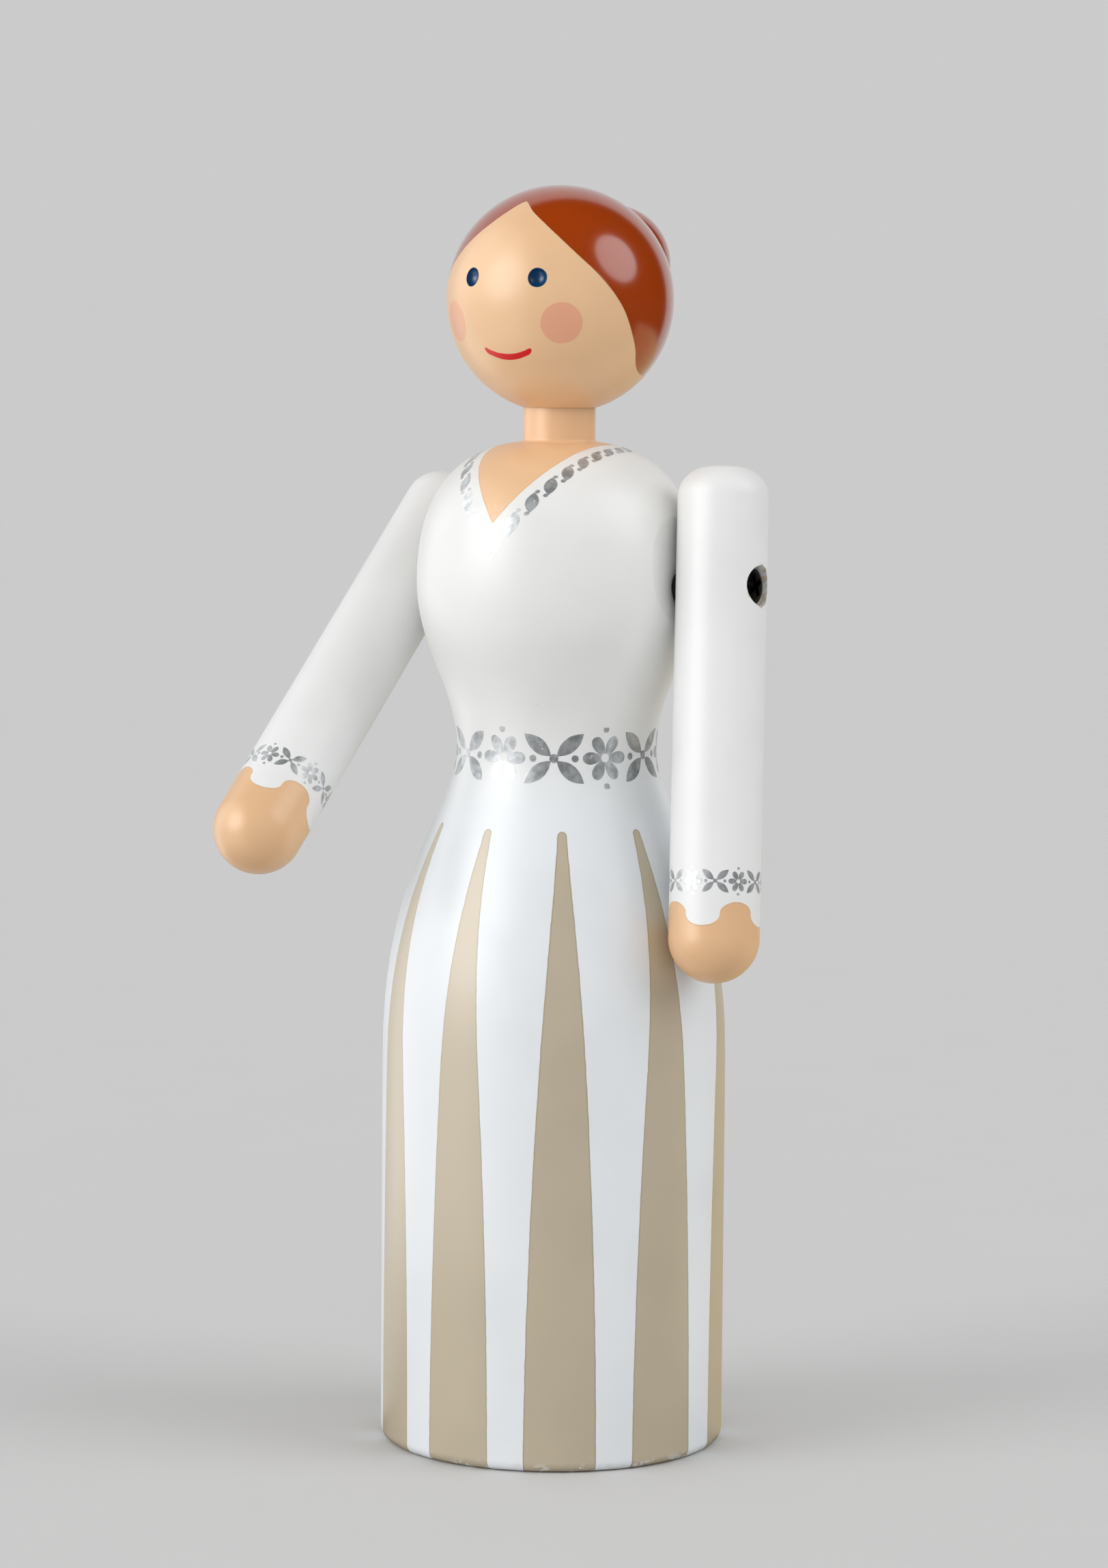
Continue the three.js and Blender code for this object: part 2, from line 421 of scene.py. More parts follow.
# Where a point of a turned piece lies: its angle round from the front, its radius and its height in mm
turned_place, given, result = new_group(
    "turned_place", {"Place": "Vector"}, {"Angle": "Float", "Radius": "Float", "Height": "Float"}
)
parts = turned_place.nodes.new("ShaderNodeSeparateXYZ")
give(parts.inputs[0], given["Place"])
across, depth, upward = [Measure(socket) for socket in parts.outputs]
give(result["Angle"], work_out("ARCTAN2", across, 0.0 - depth))
give(result["Radius"], length(across, depth) / mm)
give(result["Height"], upward / mm)

# The film of paint: cloudy gloss and shade, and dust specks
paint_film, given, result = new_group(
    "paint_film",
    {"Place": "Vector"},
    {"Gloss": "Float", "Shade": "Float", "Speck": "Float"},
)
gloss_clouds = 160
shade_clouds = 70
deepest_shade = 0.05
speck_radius = 0.012
cells_without_speck = 0.55
give(result["Gloss"], noise(given["Place"], gloss_clouds, 3.0) - 0.5)
give(result["Shade"], fade(noise(given["Place"], shade_clouds), 0.35, 0.75, 0.0, deepest_shade))
specks = paint_film.nodes.new("ShaderNodeTexVoronoi")
specks.inputs["Scale"].default_value = 120
give(specks.inputs["Vector"], given["Place"])
chosen = paint_film.nodes.new("ShaderNodeSeparateColor")
paint_film.links.new(specks.outputs["Color"], chosen.inputs[0])
speck_here = fade(Measure(specks.outputs["Distance"]), 0.5 * speck_radius, speck_radius, 1.0, 0.0)
cell_has_one = fade(Measure(chosen.outputs[0]), cells_without_speck, cells_without_speck + 0.05)
give(result["Speck"], speck_here * cell_has_one)

# The edge of a masked coat, given in mm from its line, inside below 0: it wavers a little and has a lip
painted_edge, given, result = new_group(
    "painted_edge", {"Edge": "Float", "Place": "Vector"}, {"Mask": "Float", "Lip": "Float"}
)
edge_waver = 0.16
edge_waver_clouds = 600
edge_softness = 0.05
lip_width = 0.16
wavering = given["Edge"] + (noise(given["Place"], edge_waver_clouds) - 0.5) * edge_waver
give(result["Mask"], fade(wavering, -edge_softness, edge_softness, 1.0, 0.0))
give(result["Lip"], fade(abs(wavering + 0.5 * lip_width), 0.0, lip_width, 1.0, 0.0))

# Bare wood where no paint reaches: pale, with growth rings about a pith beyond its edge and short flecks
bare_wood, given, result = new_group(
    "bare_wood", {"Place": "Vector"}, {"Colour": "Color", "Height": "Float"}
)
pith = (34, 21, 0)
ring_width = 1.7
ring_waver = 1.6
ring_waver_clouds = 60
pore_clouds = 1500
pore_shade = 0.3
pore_depth = 0.01
spring_wood = colour(222, 190, 148)
summer_wood = colour(198, 156, 108)
flat_place = bare_wood.nodes.new("ShaderNodeMapping")
flat_place.inputs["Scale"].default_value = (1, 1, 0.03)
give(flat_place.inputs["Vector"], given["Place"])
flat_place = Measure(flat_place.outputs[0])
from_pith = distance_from(flat_place, pith) + ring_waver * noise(flat_place, ring_waver_clouds, 3.0)
ring = work_out("FRACT", from_pith / ring_width)
pores = noise(given["Place"], pore_clouds, 3.0, stretch=(1, 1, 0.06))
wood_colour = cover(fade(ring, 0.1, 1.0), spring_wood, summer_wood)
give(result["Colour"], darken(wood_colour, fade(pores, 0.5, 0.75, 0.0, pore_shade)))
give(result["Height"], pore_depth * pores)

# Silver: thin printed foil, dulled in clouds and broken by pinholes
silver_foil, given, result = new_group(
    "silver_foil", {"Place": "Vector"}, {"Colour": "Color", "Roughness": "Float", "Cover": "Float"}
)
dull_foil = colour(160, 164, 166)
bright_foil = colour(203, 206, 208)
foil_clouds = 900
foil_roughness = 0.24
foil_roughening = 0.2
foil_roughness_clouds = 1500
pinhole_clouds = 2600
pinhole_level = 0.74
brightness = fade(noise(given["Place"], foil_clouds, 4.0), 0.3, 0.7)
give(result["Colour"], cover(brightness, dull_foil, bright_foil))
give(result["Roughness"], foil_roughness + foil_roughening * noise(given["Place"], foil_roughness_clouds))
pinholes = noise(given["Place"], pinhole_clouds, 1.0)
give(result["Cover"], fade(pinholes, pinhole_level, pinhole_level + 0.04, 1.0, 0.0))


def leaf(along, aside, half_length, half_width):
    """The edge of a pointed leaf, in mm, inside below 0."""
    return abs(aside) - half_width * (1 - (along / half_length) ** 2)


def slanted(along, aside, degrees):
    """Two measures on a surface, turned by an angle."""
    slant = math.radians(degrees)
    return (
        along * math.cos(slant) + aside * math.sin(slant),
        aside * math.cos(slant) - along * math.sin(slant),
    )


# A band of silver ornament, six times round: rosettes, crossed leaves and dots. It is drawn at the
# waist's size, with its height measured from the middle of the band.
silver_band, given, result = new_group(
    "silver_band", {"Angle": "Float", "Height": "Float"}, {"Edge": "Float"}
)
band_repeats = 6
repeat_half_angle = math.pi / band_repeats
rosette_radius = 3.3
rosette_eye = 0.62
petal_pairs = 3
petal_roundness = 0.42
crossed_slant = 40
crossed_distance = 2.9
crossed_half_length = 2.4
crossed_half_width = 1.0
cross_dot_radius = 0.62
side_dot_distance = 4.35
side_dot_radius = 0.5
edge_dot_distance = 3.9
edge_dot_radius = 0.45
band_half_height = 4.2
far_off = 9.0
from_rosette = work_out("WRAP", given["Angle"], repeat_half_angle, -repeat_half_angle) * waist_radius
from_cross = repeat_half_angle * waist_radius - abs(from_rosette)
above = given["Height"]
from_eye = length(from_rosette, above)
petals = abs(work_out("COSINE", work_out("ARCTAN2", above, from_rosette) * petal_pairs))
rosette = larger(from_eye - rosette_radius * petals ** petal_roundness, rosette_eye - from_eye)
along, aside = slanted(from_cross, abs(above), crossed_slant)
crossed = leaf(along - crossed_distance, aside, crossed_half_length, crossed_half_width)
cross_dot = length(from_cross, above) - cross_dot_radius
past_side_dot = from_rosette - side_dot_distance * work_out("SIGN", from_rosette)
side_dots = length(past_side_dot, above) - side_dot_radius
edge_dots = length(from_rosette, abs(above) - edge_dot_distance) - edge_dot_radius
motifs = smaller(smaller(rosette, crossed), smaller(cross_dot, side_dots))
past_band = fade(abs(above), band_half_height, band_half_height + 0.1, 0.0, far_off)
give(result["Edge"], smaller(motifs, edge_dots) + past_band)


def new_paint(name, shine=0.5):
    """A material, its shader, and the place on the piece that its patterns read."""
    material = bpy.data.materials.new(name)
    material.use_nodes = True
    shader = material.node_tree.nodes["Principled BSDF"]
    shader.inputs["Specular IOR Level"].default_value = shine
    place = material.node_tree.nodes.new("ShaderNodeTexCoord").outputs["Object"]
    return material, shader, Measure(place)


def raise_surface(shader, height):
    """Gives a shader a surface that is raised by a height in mm."""
    bump = shader.id_data.nodes.new("ShaderNodeBump")
    bump.inputs["Distance"].default_value = mm
    give(bump.inputs["Height"], height)
    give(shader.inputs["Normal"], Measure(bump.outputs[0]))


foil_metal = 0.5


def lay_silver(shader, painted, roughness, silver, foil):
    """Gives a shader its paint, with foil over it where the silver's mask is 1."""
    silver_here = silver["Mask"] * foil["Cover"]
    give(shader.inputs["Base Color"], cover(silver_here, painted, foil["Colour"]))
    give(shader.inputs["Metallic"], foil_metal * silver_here)
    give(shader.inputs["Roughness"], roughness + silver_here * (foil["Roughness"] - roughness))


# The pleats: ten beige stripes that taper up the skirt to a round tip
pleat_spacing = math.radians(36)
pleat_turn = math.radians(-0.6)
pleat_unevenness = math.radians(1.2)
pleat_uneven_turn = math.radians(47)
pleat_half_angle = math.radians(11.85)
pleat_vanishing_height = 96.0
pleat_taper = 1.85
pleat_tip = 87.3
pleat_tip_radius = 0.55

# The neckline: a point at the front and a round opening behind, drawn on the shoulders as if they were
# laid out flat round the neck
neckline_turn = math.radians(2.5)
neckline_radius = 7.4
neckline_point = 22.2
neckline_taper = 2.9
trim_distance = 2.2
trim_pitch = 3.1
trim_slant = 32
trim_half_length = 1.55
trim_half_width = 0.75
trim_dot_distance = 0.6
trim_dot_radius = 0.3
trim_lowest = 112
pendant_drop = 0.5
pendant_radius = 0.75
pendant_clearing = 1.2

bodice_white = colour(236, 236, 234)
skirt_white = colour(232, 236, 239)
skirt_white_top = 86
bodice_white_bottom = 104
beige_pleats = colour(192, 179, 155)
skin_tone = colour(236, 193, 149)
undercoat = colour(226, 225, 220)
dust_tone = colour(120, 112, 100)
dust_strength = 0.6
pleat_edge_shade = 0.22
neckline_edge_shade = 0.1
chip_clouds = 750
chip_level = 0.56
chips_highest = 1.7
chip_depth = 0.03
bare_base_height = 0.02
coat_lip = 0.012
foil_thickness = 0.008
paint_shine = 0.6
dress_roughness = 0.35
gloss_unevenness = 0.1
bare_roughening = 0.3
pleat_coat = 0.6

dress_paint, shader, place = new_paint("dress_paint", paint_shine)
spot = use_group(turned_place, Place=place)
film = use_group(paint_film, Place=place)
foil = use_group(silver_foil, Place=place)
wood = use_group(bare_wood, Place=place)

uneven = pleat_unevenness * work_out("COSINE", 2 * spot["Angle"] - pleat_uneven_turn)
pleat_middle = work_out("WRAP", spot["Angle"] - pleat_turn + uneven, pleat_spacing / 2, -pleat_spacing / 2)
pleat_taper_here = 1 - (spot["Height"] / pleat_vanishing_height) ** pleat_taper
past_side = spot["Radius"] * (abs(pleat_middle) - pleat_half_angle * pleat_taper_here) + pleat_tip_radius
past_tip = spot["Height"] - (pleat_tip - pleat_tip_radius)
pleat_edge = length(larger(past_side, 0), larger(past_tip, 0)) - pleat_tip_radius
pleats = use_group(painted_edge, Edge=pleat_edge, Place=place)

from_neck = neck_socket_radius + length(spot["Radius"] - neck_socket_radius, spot["Height"] - neck_base)
round_neck = abs(work_out("WRAP", spot["Angle"] - neckline_turn, math.pi, -math.pi))
beside = from_neck * work_out("SINE", round_neck)
before = from_neck * work_out("COSINE", round_neck)
towards_point = larger(before, 0) / neckline_point
slope = neckline_radius * neckline_taper / neckline_point * towards_point ** (neckline_taper - 1)
front_edge = beside - neckline_radius * (1 - towards_point ** neckline_taper)
behind = fade(before, -0.01, 0.01, 1.0, 0.0)
opening_edge = front_edge + behind * (from_neck - beside)
neckline_edge = opening_edge / length(slope, slope * 0 + 1)
neckline = use_group(painted_edge, Edge=neckline_edge, Place=place)

along_trim = larger(before, 0) - (neckline_radius + trim_distance) * larger(round_neck - math.pi / 2, 0)
trim_along = work_out("WRAP", along_trim, trim_pitch / 2, -trim_pitch / 2)
trim_aside = neckline_edge - trim_distance
leaf_along, leaf_aside = slanted(trim_along, trim_aside, trim_slant)
trim_leaves = leaf(leaf_along, leaf_aside, trim_half_length, trim_half_width)
from_trim_dot = length(abs(trim_along) - trim_pitch / 2, abs(trim_aside) - trim_dot_distance)
trim_edge = smaller(trim_leaves, from_trim_dot - trim_dot_radius)
from_pendant = length(beside, before - (neckline_point + trim_distance + pendant_drop))
trim_edge = smaller(larger(trim_edge, pendant_clearing - from_pendant), from_pendant - pendant_radius)
below_trim = fade(spot["Height"], trim_lowest, trim_lowest + 1, far_off, 0.0)
band = use_group(silver_band, Angle=spot["Angle"], Height=spot["Height"] - waist_height)
silver = use_group(painted_edge, Edge=smaller(trim_edge + below_trim, band["Edge"]), Place=place)

white_dress = cover(fade(spot["Height"], skirt_white_top, bodice_white_bottom), skirt_white, bodice_white)
painted = cover(pleats["Mask"], white_dress, beige_pleats)
painted = cover(neckline["Mask"], painted, skin_tone)
edge_shade = pleat_edge_shade * pleats["Lip"] + neckline_edge_shade * neckline["Lip"]
painted = darken(painted, film["Shade"] + edge_shade)
painted = cover(film["Speck"] * dust_strength, painted, dust_tone)
chip_height = fade(spot["Height"], 0.2, chips_highest, 1.0, 0.0)
chips = fade(noise(place, chip_clouds, 3.0), chip_level, chip_level + 0.03) * chip_height
painted = cover(chips, painted, undercoat)
bare = fade(spot["Height"], bare_base_height, 3 * bare_base_height, 1.0, 0.0)
painted = cover(bare, painted, wood["Colour"])
roughness = dress_roughness + gloss_unevenness * film["Gloss"] + bare_roughening * bare
lay_silver(shader, painted, roughness, silver, foil)
give(shader.inputs["Coat Weight"], pleat_coat * pleats["Mask"])
shader.inputs["Coat Roughness"].default_value = dress_roughness
lips = coat_lip * (pleats["Lip"] + neckline["Lip"]) + foil_thickness * silver["Mask"]
raise_surface(shader, lips - chip_depth * chips)

body.data.materials.append(dress_paint)
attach(body, "body")
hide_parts("body")

# Neck: a plain dowel, glued into the body's socket, with the skin paint brushed down into a small fillet
# round its foot. Its two ends stay bare wood, one in the body's socket and one in the head's.
neck_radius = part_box("neck_dowel")[1].x / mm
neck_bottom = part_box("neck_dowel")[0].z / mm
neck_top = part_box("neck_dowel")[1].z / mm
neck_chamfer = 0.5
foot_fillet = 0.55
foot_bedding = 0.06
neck_showing = 4.8
paint_below_base = 0.3
paint_into_head = 0.6
neck = turn("turned_neck", [
    (0, neck_bottom),
    (neck_radius - neck_chamfer, neck_bottom),
    (neck_radius, neck_bottom + neck_chamfer),
    (neck_radius, neck_base - foot_fillet),
    (neck_radius + foot_fillet, neck_base - foot_bedding),
    *arc((neck_radius + foot_fillet, neck_base + foot_fillet), foot_fillet, 270, 180),
    (neck_radius, neck_top - neck_chamfer),
    (neck_radius - neck_chamfer, neck_top),
    (0, neck_top),
], facets=96, curve_steps=8)
smooth(neck)

faint_dust = 0.5
bare_roughness = 0.62
skin_roughness = 0.31
skin_thickness = 0.02


def paint_wood(shader, place, past_paint, tone, roughness, unevenness, thickness):
    """Gives a shader bare wood, with paint on it where the distance past the paint's edge is below 0."""
    film = use_group(paint_film, Place=place)
    wood = use_group(bare_wood, Place=place)
    coat = use_group(painted_edge, Edge=past_paint, Place=place)["Mask"]
    painted = darken(cover(film["Speck"] * faint_dust, tone, dust_tone), film["Shade"])
    give(shader.inputs["Base Color"], cover(coat, wood["Colour"], painted))
    smoother = bare_roughness - roughness - unevenness * film["Gloss"]
    give(shader.inputs["Roughness"], bare_roughness - coat * smoother)
    raise_surface(shader, wood["Height"] + coat * (thickness - wood["Height"]))
    return coat


neck_paint, shader, place = new_paint("neck_paint", paint_shine)
spot = use_group(turned_place, Place=place)
paint_bottom = neck_base - paint_below_base
paint_top = neck_base + neck_showing + paint_into_head
past_paint = larger(paint_bottom - spot["Height"], spot["Height"] - paint_top)
paint_wood(shader, place, past_paint, skin_tone, skin_roughness, gloss_unevenness, skin_thickness)

neck.data.materials.append(neck_paint)
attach(neck, "body")
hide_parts("neck_dowel")

# Head: a turned ball, bored underneath to turn on the neck, with a flat and a hole behind for the bun and
# a round dimple cut for each eye. Skin and hair are painted, then the cheeks, the mouth and the eyes.
head_joint = next(joint for joint in frame["joints"] if joint["child"] == "head")
head_centre = Vector(head_joint["pos_m"])
head_middle = head_centre.z / mm
head_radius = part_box("head")[1].x / mm
head_socket_radius = 5.3
glue_gap = 0.3
head_socket_top = neck_top + glue_gap
socket_angle = math.degrees(math.asin(head_socket_radius / head_radius)) - 90
head = turn("turned_head", [
    (0, head_middle + head_radius),
    *arc((0, head_middle), head_radius, 90, socket_angle),
    (head_socket_radius, head_socket_top),
    (0, head_socket_top),
], facets=192, curve_steps=48)

bun_radius = 8.4
bun_latitude = math.radians(20)
bun_way = Vector((0, math.cos(bun_latitude), math.sin(bun_latitude)))
bun_seat = math.sqrt(head_radius ** 2 - bun_radius ** 2)
tenon_radius = 3.0
tenon_length = 7.0
pick_faces(head, lambda middle, normal: True)
cut_flat(head_centre + bun_way * bun_seat * mm, bun_way)
tenon_bottom = head_centre + bun_way * (bun_seat - tenon_length) * mm
drill(head, tenon_radius + glue_gap, tenon_bottom, head_centre + bun_way * head_radius * mm)


def face_point(angle, latitude):
    """A point on the head's skin, from the head's centre in mm, by degrees round and degrees up."""
    turned = math.radians(angle)
    raised = math.radians(latitude)
    flat = head_radius * math.cos(raised)
    return Vector((flat * math.sin(turned), -flat * math.cos(turned), head_radius * math.sin(raised)))


eye_angles = (-19.7, 19.7)
eye_latitude = 11.0
eye_radius = 1.3
eye_depth = 0.9
dimple_radius = (eye_radius ** 2 + eye_depth ** 2) / (2 * eye_depth)
dimple_reach = math.sqrt(head_radius ** 2 - eye_radius ** 2) - eye_depth + dimple_radius
for angle in eye_angles:
    eye_way = face_point(angle, eye_latitude).normalized()
    deselect()
    bpy.ops.mesh.primitive_uv_sphere_add(
        segments=72,
        ring_count=48,
        radius=dimple_radius * mm,
        location=head_centre + eye_way * dimple_reach * mm,
        rotation=eye_way.to_track_quat("Z", "Y").to_euler(),
    )
    combine(head, bpy.context.object, "DIFFERENCE")
smooth(head)

# The hairline runs down from a peak over the forehead, in front of the ears and round the nape: degrees
# of latitude at degrees round from the front
hairline = [
    (0, 58),
    (4, 56),
    (12, 49),
    (37, 26.5),
    (60, 2.5),
    (77, -24),
    (85, -34.5),
    (97, -39.8),
    (120, -41),
    (180, -41),
]
hair_slant = 0.65
cheek_angles = (-36.5, 32.2)
cheek_latitude = -11.4
cheek_radius = 2.85
# The right cheek, on the side of the left lamp, is painted paler: a painted sheen of that lamp over it.
right_cheek_strength_with_painted_sheen = 0.65
left_cheek_strength = 0.9
middle_of_face = math.radians(5.7)
smile_turn = math.radians(0.6)
smile_half_angle = math.radians(13.2)
smile_latitude = math.radians(-29.7)
smile_rise = math.radians(3.1)
smile_half_width = 0.46
peak_turn = math.radians(3)
peak_low = math.radians(36)
peak_high = math.radians(58)

hair_tone = colour(163, 59, 0)
cheek_tone = colour(231, 163, 132)
mouth_red = colour(214, 2, 6)
eye_blue = colour(5, 62, 104)
eye_overpaint = 0.03
hair_edge_shade = 0.12
hair_thickness = 0.015
hair_lip = 0.008
mouth_thickness = 0.008
hair_smoothing = 0.19
hair_coat_roughness = 0.19


def standing_place(place, moved, turned):
    """The place on a piece as it stood upright about its own middle, before it was moved and turned."""
    node = place.socket.id_data.nodes.new("ShaderNodeMapping")
    node.vector_type = "TEXTURE"
    node.inputs["Location"].default_value = moved
    node.inputs["Rotation"].default_value = turned
    give(node.inputs["Vector"], place)
    return Measure(node.outputs[0])


face_paint, shader, place = new_paint("face_paint", paint_shine)
place = standing_place(place, head_centre, (0, 0, 0))
spot = use_group(turned_place, Place=place)
film = use_group(paint_film, Place=place)
latitude = work_out("ARCTAN2", spot["Height"], spot["Radius"])

curve = shader.id_data.nodes.new("ShaderNodeFloatCurve")
curve_points = curve.mapping.curves[0].points
for angle, height in hairline[1:-1]:
    curve_points.new(angle / 180, 0.5 + height / 180)
curve_points[0].location = (0, 0.5 + hairline[0][1] / 180)
curve_points[-1].location = (1, 0.5 + hairline[-1][1] / 180)
curve.mapping.update()
from_peak = abs(spot["Angle"] + fade(latitude, peak_low, peak_high, 0.0, peak_turn))
give(curve.inputs["Value"], from_peak / math.pi)
hairline_latitude = (Measure(curve.outputs[0]) - 0.5) * math.pi
hair_edge = (hairline_latitude - latitude) * head_radius * hair_slant
hair = use_group(painted_edge, Edge=hair_edge, Place=place)

from_cheeks = [distance_from(place, face_point(angle, cheek_latitude)) for angle in cheek_angles]
cheek = use_group(painted_edge, Edge=smaller(*from_cheeks) - cheek_radius, Place=place)
from_eyes = [distance_from(place, face_point(angle, eye_latitude)) for angle in eye_angles]
eye = use_group(painted_edge, Edge=smaller(*from_eyes) - (eye_radius + eye_overpaint), Place=place)

smile_angle = spot["Angle"] - smile_turn
smile_line = smile_latitude + smile_rise * (smile_angle / smile_half_angle) ** 2
past_end = larger(abs(smile_angle) - smile_half_angle, 0) * head_radius * math.cos(smile_latitude)
smile_edge = length((latitude - smile_line) * head_radius, past_end) - smile_half_width
smile = use_group(painted_edge, Edge=smile_edge, Place=place)

# Painted highlight: the cheek on the left lamp's side is painted fainter than the other.
cheek_strength_and_painted_sheen = fade(
    spot["Angle"], -middle_of_face, middle_of_face, right_cheek_strength_with_painted_sheen, left_cheek_strength
)
painted = cover(cheek["Mask"] * cheek_strength_and_painted_sheen, skin_tone, cheek_tone)
painted = cover(hair["Mask"], painted, hair_tone)
painted = cover(smile["Mask"], painted, mouth_red)
painted = darken(painted, film["Shade"] + hair_edge_shade * hair["Lip"])
painted = cover(film["Speck"] * dust_strength, painted, dust_tone)
give(shader.inputs["Base Color"], cover(eye["Mask"], painted, eye_blue))
roughness = skin_roughness + gloss_unevenness * film["Gloss"] - hair_smoothing * hair["Mask"]
give(shader.inputs["Roughness"], roughness)
give(shader.inputs["Coat Weight"], hair["Mask"])
shader.inputs["Coat Roughness"].default_value = hair_coat_roughness
lips = hair_thickness * hair["Mask"] + hair_lip * hair["Lip"] + mouth_thickness * smile["Mask"]
raise_surface(shader, lips)

head.data.materials.append(face_paint)
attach(head, "head")
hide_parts("head")

# Bun: a small turned dome with a tenon, glued against the flat at the back of the head. The hair paint
# goes over it and fills the crease round its foot.
bun_height = 9.1
bun_crown = bun_seat + glue_gap + bun_height
bun_middle = bun_crown - bun_radius
tenon_end = bun_seat - tenon_length + glue_gap
bun_foot = 0.3
bun_foot_depth = 0.1
foot_rise = bun_seat + bun_foot - bun_middle
foot_angle = math.degrees(math.asin(foot_rise / bun_radius))
foot_radius = math.sqrt(bun_radius ** 2 - foot_rise ** 2)
bun = turn("turned_bun", [
    (0, tenon_end),
    (tenon_radius, tenon_end),
    (tenon_radius, bun_seat),
    (foot_radius + bun_foot, bun_seat - bun_foot_depth),
    [(foot_radius + 0.2 * bun_foot, bun_seat), (foot_radius, bun_seat), (foot_radius, bun_seat + bun_foot)],
    *arc((0, bun_middle), bun_radius, foot_angle, 90),
], facets=128, curve_steps=24)
bun_tilt = (bun_latitude - math.pi / 2, 0, 0)


def settle(piece, place, turned):
    """Turns and moves a piece that was made upright at the origin, and keeps it so."""
    piece.rotation_euler = turned
    piece.location = place
    take(piece)
    bpy.ops.object.transform_apply(location=True, rotation=True, scale=True)


settle(bun, head_centre, bun_tilt)
smooth(bun)

bun_paint_reach = 0.15
bun_roughness = 0.14
bun_gloss_unevenness = 0.08
bun_paint, shader, place = new_paint("bun_paint", paint_shine)
spot = use_group(turned_place, Place=standing_place(place, head_centre, bun_tilt))
past_paint = bun_seat - bun_paint_reach - spot["Height"]
coat = paint_wood(shader, place, past_paint, hair_tone, bun_roughness, bun_gloss_unevenness, 0)
give(shader.inputs["Coat Weight"], coat)
shader.inputs["Coat Roughness"].default_value = hair_coat_roughness

bun.data.materials.append(bun_paint)
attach(bun, "head")
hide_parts("hair_bun")

# Friction washers: a ring of black rubber round each screw, squeezed between the flat of the body and the
# seat in the arm, so that the arm stays where it is turned.
washer_inner = screw_bore_radius
washer_outer = 2.5
washer_clearance = 0.02
washer_bottom = seat_place + washer_clearance
washer_top = -5.17
washer_edge = 0.3
rubber_black = colour(16, 16, 16)
rubber_dust = colour(40, 39, 37)
rubber_roughness = 0.62
rubber_grain = 2500
rubber_grain_depth = 0.02
rubber_roughening = 0.25
rubber_dust_clouds = 500
rubber, shader, place = new_paint("rubber")
grain = noise(place, rubber_grain, 3.0)
dusty = fade(noise(place, rubber_dust_clouds, 3.0), 0.45, 0.8)
give(shader.inputs["Base Color"], cover(dusty, rubber_black, rubber_dust))
give(shader.inputs["Roughness"], rubber_roughness + rubber_roughening * grain)
raise_surface(shader, rubber_grain_depth * grain)

for shoulder in shoulders:
    washer = turn(shoulder.name.replace("arm", "washer"), [
        (washer_inner, washer_bottom + washer_edge),
        *arc((washer_inner + washer_edge, washer_bottom + washer_edge), washer_edge, 180, 270),
        (washer_outer - washer_edge, washer_bottom),
        *arc((washer_outer - washer_edge, washer_bottom + washer_edge), washer_edge, -90, 0),
        (washer_outer, washer_top - washer_edge),
        *arc((washer_outer - washer_edge, washer_top - washer_edge), washer_edge, 0, 90),
        (washer_inner + washer_edge, washer_top),
        *arc((washer_inner + washer_edge, washer_top - washer_edge), washer_edge, 90, 180),
        (washer_inner, washer_bottom + washer_edge),
    ], facets=64, curve_steps=5)
    settle(washer, shoulder.pivot, shoulder.lying)
    smooth(washer, degrees=30)
    washer.data.materials.append(rubber)
    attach(washer, "body")
    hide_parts(shoulder.name.replace("arm", "friction_washer"))

# Arms: lengths of dowel with a round hand and a rounded top, drilled through for the screw and bored wider
# for its head and for the washer. The sleeve is white with a silver cuff and a scalloped end over the hand.
arm_radius = 6.23
arm_above_pivot = 16.4
arm_below_pivot = 53.98
arm_top_edge = 4.2
counterbore_radius = 2.8
counterbore_floor = 3.15
washer_seat_radius = 2.8
washer_seat = -5.15
drill_reach = 1.5 * arm_radius
rest_swing = {"left_arm": math.radians(7.9), "right_arm": math.radians(45.3)}
cuff_middle = {"left_arm": -40.2, "right_arm": -39.4}
cuff_scale = arm_radius / waist_radius
scallop_middle = {"left_arm": -44.6, "right_arm": -43.3}
scallop_depth = 1.6
scallop_count = 4
scallop_roundness = 0.42
scallop_turn = math.radians(14)
sleeve_white = colour(235, 236, 235)
hand_tone = colour(229, 185, 141)
hand_edge_shade = 0.1
hand_thickness = 0.02
hand_smoothing = 0.1
sleeve_roughness = 0.41
bore_roughening = 0.2
bore_paint_depth = 1.2
seat_rim = -5.3
torn_width = 0.45
torn_clouds = 1400
torn_level = 0.52
torn_strength = 0.6
torn_depth = 0.05
torn_from = 4.6


